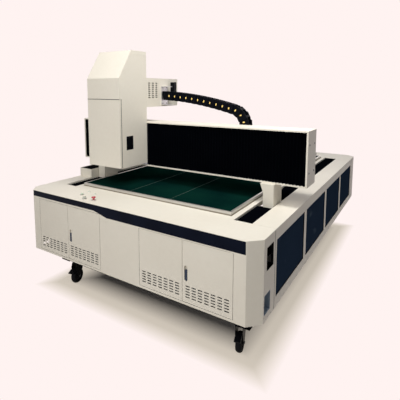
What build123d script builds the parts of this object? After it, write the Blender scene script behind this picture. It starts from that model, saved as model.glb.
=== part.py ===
from build123d import *
import os
from math import cos, radians, sin

os.makedirs("parts", exist_ok=True)

# Laser drilling machine. Millimetres, +Z up, +Y towards the rear, the front doors face -Y.
# The origin is on the floor, under the middle of the machine.

# Cabinet
cabinet_width = 2100
cabinet_depth = 3180
corner_chamfer = 76
floor_to_cladding = 390
cladding_height = 510
sheet = 2
cover_sheet = 3
seam = 0.3
cover_gap = 2

# Bed
bed_tube = 100
bed_half_width = 913
bed_length = 2760
bed_floor_gap = 220
weld_gap = 0.2
tube_wall = 5
joist_width = 60
frame_bays = 4

# Slots and guides for the gantry
slot_inner = 764
slot_outer = 893
slot_front = -1322
slot_rear = 1240
guide_beam_top = 690
guide_beam_height = 100

# Work table
table_top = 925
table_half_width = 704
table_front = -1253
table_rear = 1198
table_thickness = 22
table_seam_x = 200
trim_width = 14
trim_rise = 1

# Doors
door_half_span = 893
door_inner_edge = 190
door_bottom = 18
left_door_top = 446
right_door_top = 420
door_depth = 18
door_gap = 2.5
door_sheet = 1.5
pivot_inset = 5
pivot_radius = 3
running_clearance = 0.06
louvre_columns = 7
louvre_rows = 5
louvre_pitch_x = 45.5
louvre_pitch_z = 18
louvre_width = 32
louvre_height = 8
louvre_bottom = 54

# Door handles
handle_height = 106
handle_width = 28
handle_centre = 209
handle_inset = 26
cup_depth = 17
finger_gap = 24

# Front band
band_thin_edge = 462
band_thick_edge = 430
band_slope_start = -246
band_slope_end = -116

# Side windows
window_width = 610
window_height = 370
window_sill = 66
side_frame_depth = 24
side_frame_end = 1334
glass_thickness = 6

# Gantry
beam_half_length = 1100
beam_front = -904
beam_rear = -692
beam_bottom = 1059
beam_height = 396
beam_recess = 58
beam_skin = 8
end_plate = 12
column_front = -935
column_rear = -762
column_inner = 808
column_outer = 888
column_flare = 23
column_flare_height = 68
column_gusset = 36

# Head
tower_left = -667
tower_right = -299
tower_front = -1242
tower_back = -904
tower_bottom = 1090
tower_front_top = 1830
tower_top = 2062
tower_slope_end = -1093
tower_wall = 3
tower_door_top = 1656
tower_door_depth = 18
rear_box_back = -434
rear_box_bottom = 1585
rear_box_top = 1840

# Cable chain
chain_pitch = 62
chain_height = 80
chain_front = -686
chain_width = 80
chain_start_z = 1684
chain_upper_links = 12
chain_bend_links = 7
chain_lower_links = 7
chain_start_slope = -3
chain_end_slope = -15

# Pleated covers of the beam
pleat_count = 56
pleat_depth = 20
pleat_sheet = 1.6

# Castors
castor_x = 810
castor_y = 1277
castor_plate = 112
wheel_radius = 66
wheel_width = 40
castor_trail = 34
castor_turn = 12

# Levels and edges that follow from the sizes above
half_width = cabinet_width / 2
front = -cabinet_depth / 2
rear = cabinet_depth / 2
cladding_bottom = floor_to_cladding
cover_top = floor_to_cladding + cladding_height
cover_under = cover_top - cover_sheet
face_half = half_width - corner_chamfer
beam_top = beam_bottom + beam_height
tower_centre = (tower_left + tower_right) / 2
recess_back = beam_front + beam_recess
table_edge = table_half_width + trim_width
table_front_edge = table_front - trim_width
table_rear_edge = table_rear + trim_width

material_pieces = []


def block(low, high, mode=Mode.ADD):
    """A box between two corners, inside the part that is being built."""
    size = [b - a for a, b in zip(low, high)]
    centre = [(a + b) / 2 for a, b in zip(low, high)]
    with Locations(tuple(centre)):
        Box(*size, mode=mode)


def tube_ring(width, height):
    """The ring of a steel tube, at every place of the current sketch."""
    Rectangle(width, height)
    Rectangle(width - 2 * tube_wall, height - 2 * tube_wall, mode=Mode.SUBTRACT)


def save(piece, name):
    """Label a finished piece and write it to the parts folder."""
    piece.label = name
    export_step(piece, f"parts/{name}.step")
    material_pieces.append(piece)


# Welded bed: bottom rails, guide beams, posts, cross tubes, joists and brackets
post_rows = [-bed_length / 2 + bed_tube / 2 + i * (bed_length - bed_tube) / frame_bays
             for i in range(frame_bays + 1)]
bed_top = bed_floor_gap + bed_tube
guide_beam_bottom = guide_beam_top - guide_beam_height
guide_beam_width = 150
guide_beam_inner = bed_half_width - 153
post_size = 80
post_half = post_size / 2
post_x = bed_half_width - bed_tube / 2
cross_height = 80
joist_bottom = table_top - table_thickness - bed_tube
joist_rows = (-500, 0, 500)
bracket_size = 40
ledge_x = guide_beam_inner - weld_gap - bracket_size / 2
foot_z = cladding_bottom + 26

with BuildPart() as base_frame:
    with BuildSketch(Plane.XZ.offset(bed_length / 2)):
        for side in (-1, 1):
            with Locations((side * post_x, bed_floor_gap + bed_tube / 2)):
                tube_ring(bed_tube, bed_tube)
            with Locations((side * (guide_beam_inner + guide_beam_width / 2),
                            guide_beam_bottom + guide_beam_height / 2)):
                tube_ring(guide_beam_width, guide_beam_height)
    extrude(amount=-bed_length)
    with BuildSketch(Plane.XY.offset(bed_top + weld_gap)):
        with Locations(*[(side * post_x, y) for side in (-1, 1) for y in post_rows]):
            tube_ring(post_size, post_size)
    extrude(amount=guide_beam_bottom - bed_top - 2 * weld_gap)
    with BuildSketch(Plane.XY.offset(guide_beam_top + weld_gap)):
        with Locations(*[(side * ledge_x, y) for side in (-1, 1) for y in post_rows]):
            tube_ring(bracket_size, bracket_size)
    extrude(amount=cover_under - seam - guide_beam_top - weld_gap)
    with BuildSketch(Plane.XY.offset(guide_beam_top + weld_gap)):
        with Locations(*[(x, y) for x in joist_rows for y in post_rows]):
            tube_ring(joist_width, joist_width)
    extrude(amount=joist_bottom - guide_beam_top - 2 * weld_gap)
    with BuildSketch(Plane.YZ.offset(-(post_x - bed_tube / 2 - weld_gap))):
        with Locations(*[(y, bed_floor_gap + bed_tube / 2) for y in post_rows]):
            tube_ring(post_size, bed_tube)
    extrude(amount=2 * (post_x - bed_tube / 2 - weld_gap))
    with BuildSketch(Plane.YZ.offset(-(guide_beam_inner - weld_gap))):
        with Locations(*[(y, guide_beam_top - cross_height / 2) for y in post_rows]):
            tube_ring(post_size, cross_height)
    extrude(amount=2 * (guide_beam_inner - weld_gap))
    for side in (-1, 1):
        near, far = post_x + post_half + weld_gap, half_width - side_frame_depth - seam
        with BuildSketch(Plane.YZ.offset(min(side * near, side * far))):
            with Locations(*[(y, foot_z) for y in post_rows]):
                tube_ring(bracket_size, bracket_size)
        extrude(amount=far - near)
    with BuildSketch(Plane.XZ.offset(-(table_front + 4))):
        with Locations(*[(x, joist_bottom + (bed_tube - seam) / 2) for x in joist_rows]):
            tube_ring(joist_width, bed_tube - seam)
    extrude(amount=-(table_rear - table_front - 8))
save(base_frame.part, "base_frame")

# Front fascia: front face, both chamfers and the folded floor of the door compartments
fascia_top = cover_under - seam
door_pairs = {
    "left": (-door_half_span, -door_inner_edge, left_door_top),
    "right": (door_inner_edge, door_half_span, right_door_top),
}
with BuildPart() as front_fascia:
    with BuildSketch(Plane.XY.offset(cladding_bottom)):
        with BuildLine():
            Polyline((-half_width, front + corner_chamfer), (-face_half, front), (face_half, front),
                     (half_width, front + corner_chamfer))
            offset(amount=sheet, side=Side.LEFT)
        make_face()
    extrude(amount=fascia_top - cladding_bottom)
    block((-half_width - 1, front + corner_chamfer, cladding_bottom - 1),
          (half_width + 1, front + corner_chamfer + 9, cover_top), Mode.SUBTRACT)
    block((-face_half, front + sheet / 2, cladding_bottom),
          (face_half, post_rows[0] - post_half - seam, cladding_bottom + sheet))
    block((-face_half, post_rows[0] - post_half - seam - sheet, cladding_bottom),
          (face_half, post_rows[0] - post_half - seam, cladding_bottom + 30))
    for left_x, right_x, top in door_pairs.values():
        block((left_x - door_gap, front - 1, cladding_bottom + door_bottom - door_gap),
              (right_x + door_gap, front + sheet + 1, cladding_bottom + top + door_gap), Mode.SUBTRACT)
    with BuildSketch(Plane.XZ.offset(-front + 1)):
        with BuildLine():
            Polyline((-face_half + 3, cladding_bottom + band_thin_edge - seam),
                     (band_slope_start, cladding_bottom + band_thin_edge - seam),
                     (band_slope_end, cladding_bottom + band_thick_edge - seam),
                     (face_half - 3, cladding_bottom + band_thick_edge - seam),
                     (face_half - 3, cover_top + 1), (-face_half + 3, cover_top + 1), close=True)
        make_face()
    extrude(amount=-(sheet + 2), mode=Mode.SUBTRACT)
save(front_fascia.part, "front_fascia")

# Front band: a dark strip set in the fascia, thin on the left and thick on the right
with BuildPart() as front_band:
    with BuildSketch(Plane.XZ.offset(-front)):
        with BuildLine():
            Polyline((-face_half + 3 + seam, cladding_bottom + band_thin_edge),
                     (band_slope_start, cladding_bottom + band_thin_edge),
                     (band_slope_end, cladding_bottom + band_thick_edge),
                     (face_half - 3 - seam, cladding_bottom + band_thick_edge),
                     (face_half - 3 - seam, fascia_top), (-face_half + 3 + seam, fascia_top), close=True)
        make_face()
    extrude(amount=-sheet)
save(front_band.part, "front_band")

# Top covers at the front and the rear, with a tongue up to the table
control_x = {"estop": -316, "start": -506, "mode": -406}
control_y = {"estop": front + 66, "start": front + 118, "mode": front + 56}
control_hole = 16


def end_cover(side, table_end):
    """Corner points of the front (side -1) or rear (side 1) cover."""
    edge, slot = side * cabinet_depth / 2, (slot_front if side < 0 else slot_rear)
    chamfer_y = edge - side * corner_chamfer
    tongue, tongue_half = table_end + side * cover_gap, table_edge + cover_gap
    return [(-half_width, chamfer_y), (-face_half, edge), (face_half, edge), (half_width, chamfer_y),
            (half_width, slot), (tongue_half, slot), (tongue_half, tongue), (-tongue_half, tongue),
            (-tongue_half, slot), (-half_width, slot)]


with BuildPart() as front_cover:
    with BuildSketch(Plane.XY.offset(cover_under)):
        with BuildLine():
            Polyline(*end_cover(-1, table_front_edge), close=True)
        make_face()
        for name in control_x:
            with Locations((control_x[name], control_y[name])):
                Circle(control_hole, mode=Mode.SUBTRACT)
    extrude(amount=cover_sheet)
save(front_cover.part, "front_cover")

with BuildPart() as rear_cover:
    with BuildSketch(Plane.XY.offset(cover_under)):
        with BuildLine():
            Polyline(*end_cover(1, table_rear_edge), close=True)
        make_face()
    extrude(amount=cover_sheet)
save(rear_cover.part, "rear_cover")

# Side covers: outer strip, inner strip beside the table and, on the left, a screwed upstand
strip_front = slot_front + cover_gap
strip_rear = slot_rear - cover_gap
slot_flange = 30
upstand_front, upstand_rear, upstand_height = -1025, 1100, 80

for side, name in ((-1, "side_cover_left"), (1, "side_cover_right")):
    with BuildPart() as side_cover:
        outer = sorted((side * slot_outer, side * half_width))
        block((outer[0], strip_front, cover_under), (outer[1], strip_rear, cover_top))
        lip = sorted((side * slot_outer, side * (slot_outer + sheet)))
        block((lip[0], strip_front, cover_under - slot_flange), (lip[1], strip_rear, cover_under))
        inner = sorted((side * slot_inner, side * (table_edge + cover_gap)))
        block((inner[0], strip_front, cover_under), (inner[1], strip_rear, cover_top))
        lip = sorted((side * slot_inner, side * (slot_inner - sheet)))
        block((lip[0], strip_front, cover_under - slot_flange), (lip[1], strip_rear, cover_under))
        if side < 0:
            block((-half_width, upstand_front, cover_top + weld_gap),
                  (-half_width + 25, upstand_rear, cover_top + weld_gap + sheet))
            block((-half_width, upstand_front, cover_top + weld_gap),
                  (-half_width + sheet, upstand_rear, cover_top + upstand_height))
    save(side_cover.part, name)

# Side frames, each with four window openings and a rebate for the glass.
side_bay = 2 * side_frame_end / frame_bays
window_centres = [-side_frame_end + (i + 0.5) * side_bay for i in range(frame_bays)]
window_low = cladding_bottom + window_sill
window_high = window_low + window_height
lip_depth = 6
rebate = 5
vent_y, vent_z, vent_width, vent_height = front + 175, cladding_bottom + 374, 112, 143

with BuildPart() as side_frames:
    for side in (-1, 1):
        plate = sorted((side * half_width, side * (half_width - side_frame_depth)))
        block((plate[0], -side_frame_end, cladding_bottom), (plate[1], side_frame_end, fascia_top))
        mid, back = side * (half_width - side_frame_depth / 2), side * (half_width - lip_depth - side_frame_depth / 2)
        with Locations(*[(mid, y, (window_low + window_high) / 2) for y in window_centres]):
            Box(side_frame_depth + 2, window_width, window_height, mode=Mode.SUBTRACT)
        with Locations(*[(back, y, (window_low + window_high) / 2) for y in window_centres]):
            Box(side_frame_depth, window_width + 2 * rebate, window_height + 2 * rebate, mode=Mode.SUBTRACT)
save(side_frames.part, "side_frames")

with BuildPart() as side_windows:
    for side in (-1, 1):
        face = half_width - lip_depth - seam
        pane = sorted((side * face, side * (face - glass_thickness)))
        for y in window_centres:
            block((pane[0], y - window_width / 2 - rebate + 1, window_low - rebate + seam),
                  (pane[1], y + window_width / 2 + rebate - 1, window_high + rebate - 1))
save(side_windows.part, "side_windows")

# Front corner panels between the chamfer and the side frame
panel_front = front + corner_chamfer + seam
panel_rear = -side_frame_end - seam
recess_y, recess_z, recess_width, recess_height, recess_depth = front + 138, cladding_bottom + 104, 96, 122, 40

with BuildPart() as corner_panels:
    for side in (-1, 1):
        skin = sorted((side * half_width, side * (half_width - sheet)))
        block((skin[0], panel_front, cladding_bottom), (skin[1], panel_rear, fascia_top))
        fold = sorted((side * half_width, side * (half_width - 20)))
        block((fold[0], panel_rear - sheet, cladding_bottom), (fold[1], panel_rear, fascia_top))
        block((fold[0], panel_front, cladding_bottom), (fold[1], panel_rear, cladding_bottom + sheet))
    block((half_width - sheet - 1, vent_y - vent_width / 2, vent_z - vent_height / 2),
          (half_width + 1, vent_y + vent_width / 2, vent_z + vent_height / 2), Mode.SUBTRACT)
    block((half_width - sheet - 1, recess_y - recess_width / 2, recess_z - recess_height / 2),
          (half_width + 1, recess_y + recess_width / 2, recess_z + recess_height / 2), Mode.SUBTRACT)
save(corner_panels.part, "corner_panels")

# Service recess: an open box behind the lower opening of the right panel
with BuildPart() as service_recess:
    out_y, out_z = recess_width / 2 - seam, recess_height / 2 - seam
    block((half_width - recess_depth, recess_y - out_y, recess_z - out_z),
          (half_width - seam, recess_y + out_y, recess_z + out_z))
    block((half_width - recess_depth + sheet, recess_y - out_y + sheet, recess_z - out_z + sheet),
          (half_width + 1, recess_y + out_y - sheet, recess_z + out_z - sheet), Mode.SUBTRACT)
save(service_recess.part, "service_recess")

# Rear fascia: rear face, both chamfers and the rear corner sides in one folded sheet
with BuildPart() as rear_fascia:
    with BuildSketch(Plane.XY.offset(cladding_bottom)):
        with BuildLine():
            Polyline((half_width, side_frame_end + seam), (half_width, rear - corner_chamfer),
                     (face_half, rear), (-face_half, rear), (-half_width, rear - corner_chamfer),
                     (-half_width, side_frame_end + seam))
            offset(amount=sheet, side=Side.LEFT)
        make_face()
    extrude(amount=fascia_top - cladding_bottom)
    block((-face_half, post_rows[-1] + post_half + seam, cladding_bottom),
          (face_half, rear - sheet / 2, cladding_bottom + sheet))
    block((-face_half, post_rows[-1] + post_half + seam, cladding_bottom),
          (face_half, post_rows[-1] + post_half + seam + sheet, cladding_bottom + 30))
    with BuildSketch(Plane.XZ.offset(-rear - 1)):
        with Locations((0, cladding_bottom + 120)):
            with GridLocations(60, louvre_pitch_z, 8, louvre_rows):
                Rectangle(louvre_width, louvre_height)
    extrude(amount=2 * sheet, mode=Mode.SUBTRACT)
save(rear_fascia.part, "rear_fascia")

# Work table: three panels on the joists, with a trim profile round them
with BuildPart() as table_panels:
    panel_edges = (-table_half_width, -table_seam_x, table_seam_x, table_half_width)
    for left_x, right_x in zip(panel_edges, panel_edges[1:]):
        block((left_x + 1, table_front, table_top - table_thickness),
              (right_x - 1, table_rear, table_top))
save(table_panels.part, "table_panels")

with BuildPart() as table_trim:
    trim_low = cover_under
    middle_y = (table_front + table_rear) / 2
    run = (table_rear - table_front) / 2
    with Locations((0, middle_y, (trim_low + table_top + trim_rise) / 2)):
        Box(2 * table_edge, 2 * (run + trim_width), table_top + trim_rise - trim_low)
        Box(2 * table_half_width, 2 * run, table_top, mode=Mode.SUBTRACT)
save(table_trim.part, "table_trim")

# Guides of the gantry: a profile rail and a magnet track on each guide beam
rail_x, rail_width, rail_height = 801, 23, 22
track_x, track_width, track_height = 872, 60, 10

with BuildPart() as y_guides:
    for side in (-1, 1):
        with BuildSketch(Plane.XZ.offset(bed_length / 2)):
            with Locations((side * rail_x, guide_beam_top + weld_gap + rail_height / 2)):
                Rectangle(rail_width, rail_height)
                with GridLocations(rail_width, 1, 2, 1):
                    Circle(4, mode=Mode.SUBTRACT)
        extrude(amount=-bed_length)
        block((side * track_x - track_width / 2, -bed_length / 2, guide_beam_top + weld_gap),
              (side * track_x + track_width / 2, bed_length / 2, guide_beam_top + weld_gap + track_height))
save(y_guides.part, "y_guides")

# Units in the door compartments
unit_floor = cladding_bottom + sheet + weld_gap
unit_front, unit_rear = front + 42, post_rows[0] - post_half - 12


def inner_unit(left_x, right_x, top, fans):
    """A housing with a plinth, a rounded front edge, ventilated fan rings and two grip holes."""
    middle = (left_x + right_x) / 2
    with Locations((middle, (unit_front + unit_rear) / 2, (unit_floor + top) / 2)):
        Box(right_x - left_x, unit_rear - unit_front, top - unit_floor)
    upright = faces().sort_by(Axis.Y)[0].edges().filter_by(Axis.Z)
    fillet(upright, 6)
    with Locations(Plane.XZ.offset(-unit_front)):
        with Locations((middle, (unit_floor + top) / 2)):
            with GridLocations((right_x - left_x) / fans, 1, fans, 1):
                Cylinder(70, 16, mode=Mode.SUBTRACT)
                Cylinder(28, 16.2)


with BuildPart() as drive_cabinet:
    inner_unit(-840, -240, cladding_bottom + 330, 3)
save(drive_cabinet.part, "drive_cabinet")

with BuildPart() as laser_supply:
    inner_unit(240, 840, cladding_bottom + 300, 2)
save(laser_supply.part, "laser_supply")

# Doors: folded pans with louvres, a pressed handle cup in the right-hand leaf of each pair
leaf_width = (door_half_span - door_inner_edge - 3) / 2
hinge_y = front + pivot_inset
leaves = {
    "door_left_outer": (-door_half_span, 1, left_door_top, False),
    "door_left_inner": (-door_inner_edge, -1, left_door_top, True),
    "door_right_inner": (door_inner_edge, 1, right_door_top, False),
    "door_right_outer": (door_half_span, -1, right_door_top, True),
}
handle_x = {}

for name, (hinge_edge, side, top, has_handle) in leaves.items():
    left_x, right_x = sorted((hinge_edge, hinge_edge + side * leaf_width))
    low_z, high_z = cladding_bottom + door_bottom, cladding_bottom + top
    with BuildPart() as door:
        block((left_x, front, low_z), (right_x, front + door_depth, high_z))
        block((left_x + door_sheet, front + door_sheet, low_z + door_sheet),
              (right_x - door_sheet, front + door_depth + 1, high_z - door_sheet), Mode.SUBTRACT)
        rows_centre = cladding_bottom + louvre_bottom + louvre_pitch_z * (louvre_rows - 1) / 2
        with BuildSketch(Plane.XZ.offset(-front + 1)):
            with Locations(((left_x + right_x) / 2, rows_centre)):
                with GridLocations(louvre_pitch_x, louvre_pitch_z, louvre_columns, louvre_rows):
                    Rectangle(louvre_width, louvre_height)
        extrude(amount=-4, mode=Mode.SUBTRACT)
        pivot_x = hinge_edge + side * pivot_inset
        with Locations((pivot_x, hinge_y, (low_z + high_z) / 2)):
            Cylinder(pivot_radius + running_clearance, high_z - low_z + 2, mode=Mode.SUBTRACT)
        if has_handle:
            handle_x[name] = left_x + handle_inset
            centre = (handle_x[name], cladding_bottom + handle_centre)
            cup_plane = Plane.XZ.offset(-front)
            with BuildSketch(cup_plane):
                with Locations(centre):
                    SlotOverall(handle_height, handle_width, rotation=90)
            extrude(amount=-cup_depth)
            with BuildSketch(cup_plane):
                with Locations(centre):
                    SlotOverall(handle_height - 4, handle_width - 4, rotation=90)
            extrude(amount=-(cup_depth - sheet), mode=Mode.SUBTRACT)
            pin_z = centre[1] - handle_height / 2 + 14
            with Locations(Location((centre[0], front + 5, pin_z), (0, 90, 0))):
                Cylinder(2 + running_clearance, handle_width - 1, mode=Mode.SUBTRACT)
    save(door.part, name)

# Hinge pins: a bracket with a pin above and below each leaf, behind the fascia
with BuildPart() as hinge_pins:
    for hinge_edge, side, top, has_handle in leaves.values():
        pivot_x = hinge_edge + side * pivot_inset
        for z, up in ((cladding_bottom + top, 1), (cladding_bottom + door_bottom, -1)):
            near, far = z + up * 0.6, z + up * 4.6
            block((pivot_x - 10, front + sheet + weld_gap, min(near, far)),
                  (pivot_x + 10, front + door_depth, max(near, far)))
            with Locations((pivot_x, hinge_y, (near + z - up * 8) / 2)):
                Cylinder(pivot_radius, abs(near - z + up * 8) + 0.1)
save(hinge_pins.part, "hinge_pins")

# Flush handles: a paddle on a cross pin near its lower end
for name, node in (("door_left_inner", "handle_left"), ("door_right_outer", "handle_right")):
    with BuildPart() as handle:
        x, z = handle_x[name], cladding_bottom + handle_centre
        with BuildSketch(Plane.XZ.offset(-front - 2)):
            with Locations((x, z - finger_gap / 2)):
                SlotOverall(handle_height - 10 - finger_gap, handle_width - 9, rotation=90)
        extrude(amount=-6)
        with Locations(Location((x, front + 5, z - handle_height / 2 + 14), (0, 90, 0))):
            Cylinder(2, handle_width - 2)
    save(handle.part, node)

# Operating controls on the front cover
collar_radius, collar_height, stem_radius = 14, 5, 8
collar_bore = stem_radius + running_clearance
collar_top = cover_top + weld_gap + collar_height

with BuildPart() as control_collars:
    for name in control_x:
        with Locations((control_x[name], control_y[name], cover_top + weld_gap + collar_height / 2)):
            Cylinder(collar_radius + 3, collar_height)
        with Locations((control_x[name], control_y[name], cover_top - 12)):
            Cylinder(control_hole - seam, 24 + 2 * weld_gap)
        with Locations((control_x[name], control_y[name], cover_top)):
            Cylinder(collar_bore, 60, mode=Mode.SUBTRACT)
save(control_collars.part, "control_collars")

with BuildPart() as estop_button:
    with BuildSketch(Plane.XZ):
        with BuildLine():
            Polyline((0, -20), (stem_radius, -20), (stem_radius, 17), (11, 20), (16, 23))
            ThreePointArc((16, 23), (15, 28), (10, 30.5))
            Polyline((10, 30.5), (0, 31.5), (0, -20))
        make_face()
    revolve(axis=Axis.Z)
save(estop_button.part.moved(Location((control_x["estop"], control_y["estop"], cover_top))), "estop_button")

with BuildPart() as start_button:
    with BuildSketch(Plane.XZ):
        with BuildLine():
            Polyline((0, -20), (stem_radius, -20), (stem_radius, 10), (11, 10), (11, 13), (9.5, 14.5),
                     (0, 14.5), (0, -20))
        make_face()
    revolve(axis=Axis.Z)
save(start_button.part.moved(Location((control_x["start"], control_y["start"], cover_top))), "start_button")

with BuildPart() as mode_knob:
    with Locations((control_x["mode"], control_y["mode"], cover_top)):
        with Locations((0, 0, -3)):
            Cylinder(stem_radius, 34)
        with Locations((0, 0, 10)):
            Cylinder(12, 4)
        with Locations((0, 0, 16)):
            Box(7, 23, 10)
save(mode_knob.part, "mode_knob")

# Columns of the gantry, each on its carriage plate, bearing blocks and drive coil
carriage_top = guide_beam_top + 66
carriage_plate = 20
carriage_front, carriage_rear = column_front - 70, column_rear + 70
bearing_length = 90

for side, name in ((-1, "column_left"), (1, "column_right")):
    with BuildPart() as column:
        with BuildSketch(Plane.YZ.offset(min(side * column_inner, side * column_outer))):
            with BuildLine():
                Polyline((column_rear + column_gusset, beam_bottom - weld_gap),
                         (column_front, beam_bottom - weld_gap), (column_front, carriage_top + weld_gap),
                         (column_rear, carriage_top + weld_gap),
                         (column_rear, beam_bottom - weld_gap - column_gusset))
                RadiusArc((column_rear, beam_bottom - weld_gap - column_gusset),
                          (column_rear + column_gusset, beam_bottom - weld_gap), column_gusset)
            make_face()
        extrude(amount=column_outer - column_inner)
        with BuildSketch(Plane.XZ.offset(-column_front)):
            with BuildLine():
                Polyline((side * (column_inner + 1), beam_bottom - weld_gap - column_flare_height),
                         (side * (column_inner - column_flare), beam_bottom - weld_gap),
                         (side * (column_inner + 1), beam_bottom - weld_gap), close=True)
            make_face()
        extrude(amount=-(column_rear - column_front))
        plate = sorted((side * 774, side * 905))
        block((plate[0], carriage_front, carriage_top - carriage_plate),
              (plate[1], carriage_rear, carriage_top))
        for y in (carriage_front + bearing_length / 2, carriage_rear - bearing_length / 2):
            low, high = guide_beam_top + weld_gap + 5, carriage_top - carriage_plate - weld_gap
            slot_top = guide_beam_top + weld_gap + rail_height + 0.5
            near = sorted((side * (rail_x - 25), side * (rail_x + 25)))
            block((near[0], y - bearing_length / 2, low), (near[1], y + bearing_length / 2, high))
            near = sorted((side * (rail_x - rail_width / 2 - 0.5), side * (rail_x + rail_width / 2 + 0.5)))
            block((near[0], y - bearing_length / 2 - 1, low - 1),
                  (near[1], y + bearing_length / 2 + 1, slot_top), Mode.SUBTRACT)
        block((side * track_x - 26, carriage_front + 20, guide_beam_top + weld_gap + track_height + 2),
              (side * track_x + 26, carriage_rear - 20, carriage_top - carriage_plate - weld_gap))
    save(column.part, name)

# Beam: a box with a channel along its front for the rails, closed above and below by two lips
with BuildPart() as beam:
    with BuildSketch(Plane.YZ.offset(-beam_half_length)):
        with Locations(((beam_front + beam_rear) / 2, (beam_bottom + beam_top) / 2)):
            Rectangle(beam_rear - beam_front, beam_height)
        with Locations((beam_front + beam_recess / 2, (beam_bottom + beam_top) / 2)):
            Rectangle(beam_recess, beam_height - 20, mode=Mode.SUBTRACT)
        with Locations(((recess_back + beam_rear) / 2, (beam_bottom + beam_top) / 2)):
            Rectangle(beam_rear - recess_back - 2 * beam_skin, beam_height - 2 * beam_skin,
                      mode=Mode.SUBTRACT)
    extrude(amount=2 * beam_half_length)
save(beam.part, "beam")

with BuildPart() as beam_ends:
    for side in (-1, 1):
        plate = sorted((side * (beam_half_length + weld_gap), side * (beam_half_length + end_plate)))
        block((plate[0], beam_front, beam_bottom), (plate[1], beam_rear, beam_top))
save(beam_ends.part, "beam_ends")

# Rails and magnet track of the head, on the back of the beam's channel
x_rail_levels = (beam_bottom + 70, beam_top - 70)
x_rail_height, x_rail_depth = 23, 18

with BuildPart() as x_guides:
    for z in x_rail_levels:
        block((-beam_half_length + 10, recess_back - x_rail_depth - weld_gap, z - x_rail_height / 2),
              (beam_half_length - 10, recess_back - weld_gap, z + x_rail_height / 2))
    middle = (beam_bottom + beam_top) / 2
    block((-beam_half_length + 10, recess_back - 8, middle - 32),
          (beam_half_length - 10, recess_back - weld_gap, middle + 32))
save(x_guides.part, "x_guides")


# Pleated covers: a zigzag sheet between the beam's end and the head's carriage
def pleat_points(x_start, x_end):
    """Corner points of the zigzag in plan, along its front and back along its rear."""
    y_near, y_far = beam_front + 1, beam_front + 1 + pleat_depth - pleat_sheet
    step = (x_end - x_start) / (2 * pleat_count)
    fold = [(x_start + i * step, y_near if i % 2 else y_far) for i in range(2 * pleat_count + 1)]
    return fold + [(x, y + pleat_sheet) for x, y in reversed(fold)]


pleat_low, pleat_high = beam_bottom + 10.5, beam_top - 10.5

with BuildPart() as bellows_left:
    with BuildSketch(Plane.XY.offset(pleat_low)):
        with BuildLine():
            Polyline(*pleat_points(-beam_half_length + 0.5, tower_left + 0.5), close=True)
        make_face()
    extrude(amount=pleat_high - pleat_low)
save(bellows_left.part, "bellows_left")

with BuildPart() as bellows_right:
    with BuildSketch(Plane.XY.offset(pleat_low)):
        with BuildLine():
            Polyline(*pleat_points(tower_right - 0.5, beam_half_length - 0.5), close=True)
        make_face()
    extrude(amount=pleat_high - pleat_low)
save(bellows_right.part, "bellows_right")

# Head carriage: a plate in the line of the pleated covers, bearing blocks, mast and Z rails
plate_back = beam_front + 16
mast_front = beam_front - 17
z_rail_x = (tower_centre - 77, tower_centre + 77)
z_rail_depth = 20
z_rail_top = rear_box_bottom - 10

with BuildPart() as x_carriage:
    block((tower_left + 1, beam_front + 1, beam_bottom + 12), (tower_right - 1, plate_back, beam_top - 12))
    block((tower_left + 60, beam_front - 1, tower_bottom + 32), (tower_right - 60, plate_back, beam_top - 12))
    block((tower_left + 60, mast_front, tower_bottom + 32), (tower_right - 60, beam_front - seam, z_rail_top))
    for z in x_rail_levels:
        for x in (tower_left + 60, tower_right - 60):
            block((x - 45, plate_back + weld_gap, z - 25), (x + 45, recess_back - 2, z + 25))
            block((x - 46, recess_back - x_rail_depth - 1, z - x_rail_height / 2 - 0.5),
                  (x + 46, recess_back, z + x_rail_height / 2 + 0.5), Mode.SUBTRACT)
    for x in z_rail_x:
        block((x - 10, mast_front - z_rail_depth, tower_bottom + 32), (x + 10, mast_front + 1, z_rail_top))
save(x_carriage.part, "x_carriage")

# Tower: a folded shell with a slanted top, open behind the door and at the carriage
hinge_gap = 3
door_back = tower_front + tower_door_depth

tower_profile = [(tower_front, tower_bottom), (tower_back, tower_bottom), (tower_back, tower_top),
                 (tower_slope_end, tower_top), (tower_front, tower_front_top)]

with BuildPart() as tower_shell:
    with BuildSketch(Plane.YZ.offset(tower_left)):
        with BuildLine():
            Polyline(*tower_profile, close=True)
        make_face()
    extrude(amount=tower_right - tower_left)
    with BuildSketch(Plane.YZ.offset(tower_left + tower_wall)):
        with BuildLine():
            Polyline(*tower_profile, close=True)
        make_face()
        offset(amount=-tower_wall, kind=Kind.INTERSECTION, mode=Mode.REPLACE)
    extrude(amount=tower_right - tower_left - 2 * tower_wall, mode=Mode.SUBTRACT)
    block((tower_left - 1, tower_front - 1, tower_bottom + tower_wall),
          (tower_right + 1, door_back + hinge_gap, tower_door_top + hinge_gap), Mode.SUBTRACT)
    block((tower_left + 24, tower_front - 1, tower_bottom - 1),
          (tower_right + 1, door_back + hinge_gap, tower_bottom + tower_wall + 1), Mode.SUBTRACT)
    block((tower_left + tower_wall, tower_front + tower_wall, tower_door_top + hinge_gap),
          (tower_right - tower_wall, door_back + 20, tower_door_top + hinge_gap + tower_wall))
    with Locations((tower_centre, (door_back + tower_back) / 2, tower_bottom)):
        Cylinder(62, 20, mode=Mode.SUBTRACT)
    block((tower_left + 58, tower_back - 2 * tower_wall, tower_bottom + 28),
          (tower_right - 58, tower_back + 1, z_rail_top + 2), Mode.SUBTRACT)
    block((tower_right - tower_wall - 1, -1168, 1236), (tower_right + 1, -1084, 1352), Mode.SUBTRACT)
    cap_line = tower_top - 36
    for x in (tower_left, tower_right):
        block((x - 1, tower_slope_end - 60, cap_line), (x + 1, tower_back + 1, cap_line + 3), Mode.SUBTRACT)
    pin_x, pin_y = tower_left + 8, tower_front + 9
    with Locations((pin_x, pin_y, tower_bottom + tower_wall + 3)):
        Cylinder(4, 8)
    with Locations((pin_x, pin_y, tower_door_top)):
        Cylinder(4, 2 * (hinge_gap + tower_wall))
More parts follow.
